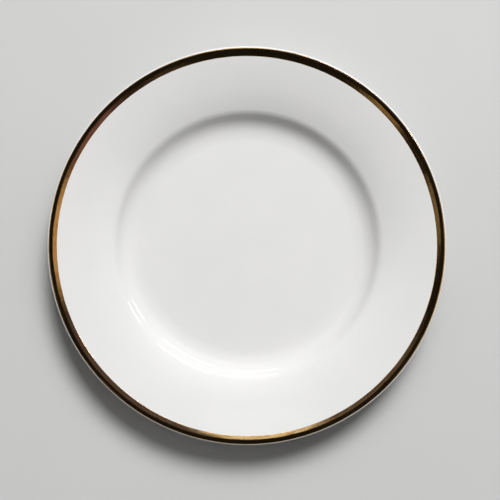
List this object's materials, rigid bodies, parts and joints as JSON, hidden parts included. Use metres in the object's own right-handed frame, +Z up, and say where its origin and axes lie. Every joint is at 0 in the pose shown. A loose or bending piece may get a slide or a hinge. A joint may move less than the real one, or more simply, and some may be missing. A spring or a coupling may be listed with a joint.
{
  "type": "dinner plate",
  "caption": "Round rimmed dinner plate in white glazed china: flat well, curved wall, gently crowned rim, full-round lip, low foot ring and a thin gold band lined round the rim.",
  "frame": {"origin": "centre of the foot ring, on the table plane", "axes": "+Z up along the plate's axis, out of the eating surface; the plate is round, and -Y is the side at the foot of the picture when it is seen from above"},
  "size_m": [0.267, 0.267, 0.0277],
  "materials": {
    "bare_china": "matte",
    "white_glaze": "gloss",
    "gold": "polished"
  },
  "bodies": {
    "root": {"porcelain_body": "bare_china", "glaze_coat": "white_glaze", "foot_recess_glaze": "white_glaze", "gold_rim_band": "gold"}
  },
  "joints": []
}
